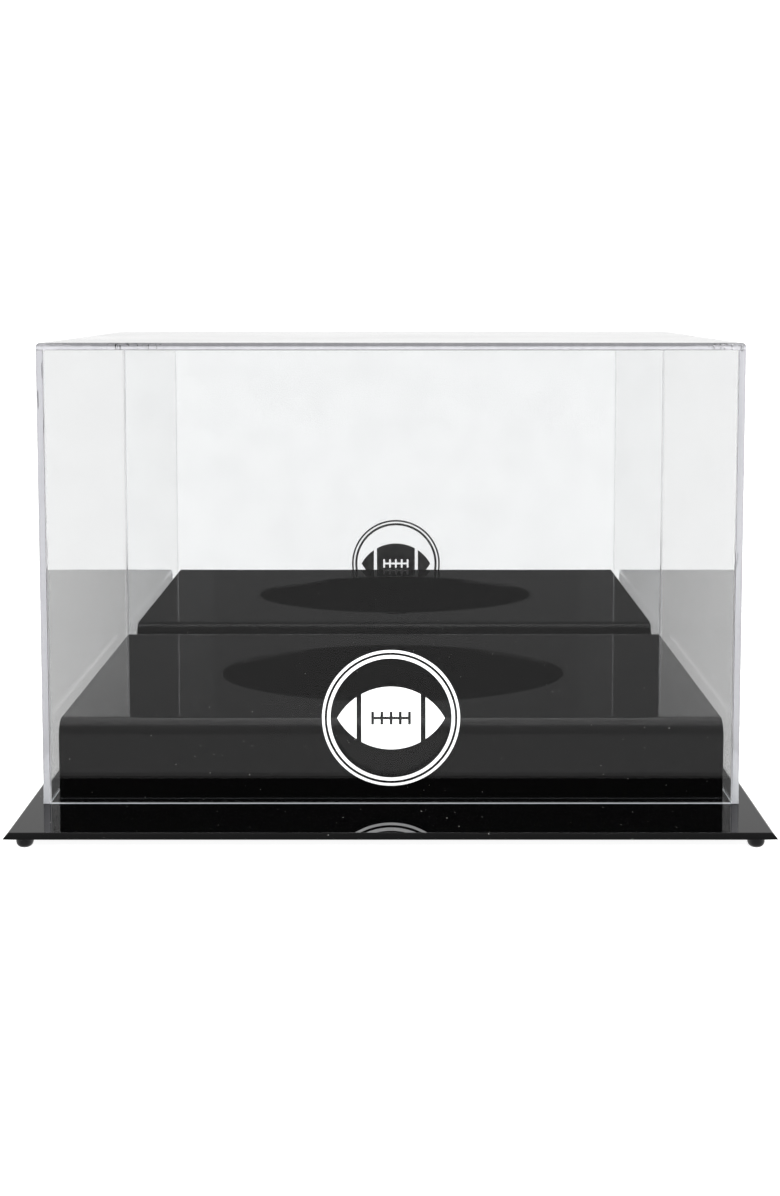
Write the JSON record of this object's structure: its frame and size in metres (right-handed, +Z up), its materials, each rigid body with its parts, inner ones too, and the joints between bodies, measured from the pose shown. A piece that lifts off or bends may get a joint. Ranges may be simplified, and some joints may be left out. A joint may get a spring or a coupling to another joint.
{
  "type": "football display case",
  "caption": "Clear lift-off cover with a mirror back on a black bevelled base plate, with a bent riser whose oval opening cradles a football.",
  "frame": {"origin": "on the resting surface, under the centre of the base plate's outline", "axes": "+X along the case's width (its longest side), -Y is the front with the emblem and the wide ledge, +Z up"},
  "size_m": [0.3354, 0.2744, 0.2178],
  "materials": {
    "black_acrylic": "gloss",
    "black_acrylic_riser": "gloss",
    "foot_rubber": "satin",
    "clear_acrylic": "gloss",
    "mirror_acrylic": "gloss",
    "white_ink": "satin"
  },
  "bodies": {
    "base": {"base_plate": "black_acrylic", "riser": "black_acrylic_riser", "foot_front_left": "foot_rubber", "foot_front_right": "foot_rubber", "foot_rear_left": "foot_rubber", "foot_rear_right": "foot_rubber"},
    "cover": {"cover_front_panel": "clear_acrylic", "cover_left_panel": "clear_acrylic", "cover_right_panel": "clear_acrylic", "cover_top_panel": "clear_acrylic", "cover_mirror_back": "mirror_acrylic", "emblem_outer_ring": "white_ink", "emblem_inner_ring": "white_ink", "emblem_football": "white_ink"}
  },
  "joints": [
    {"name": "cover_lift", "type": "slide", "parent": "base", "child": "cover", "axis": [0, 0, 1], "range_m": [0, 0.25]}
  ]
}
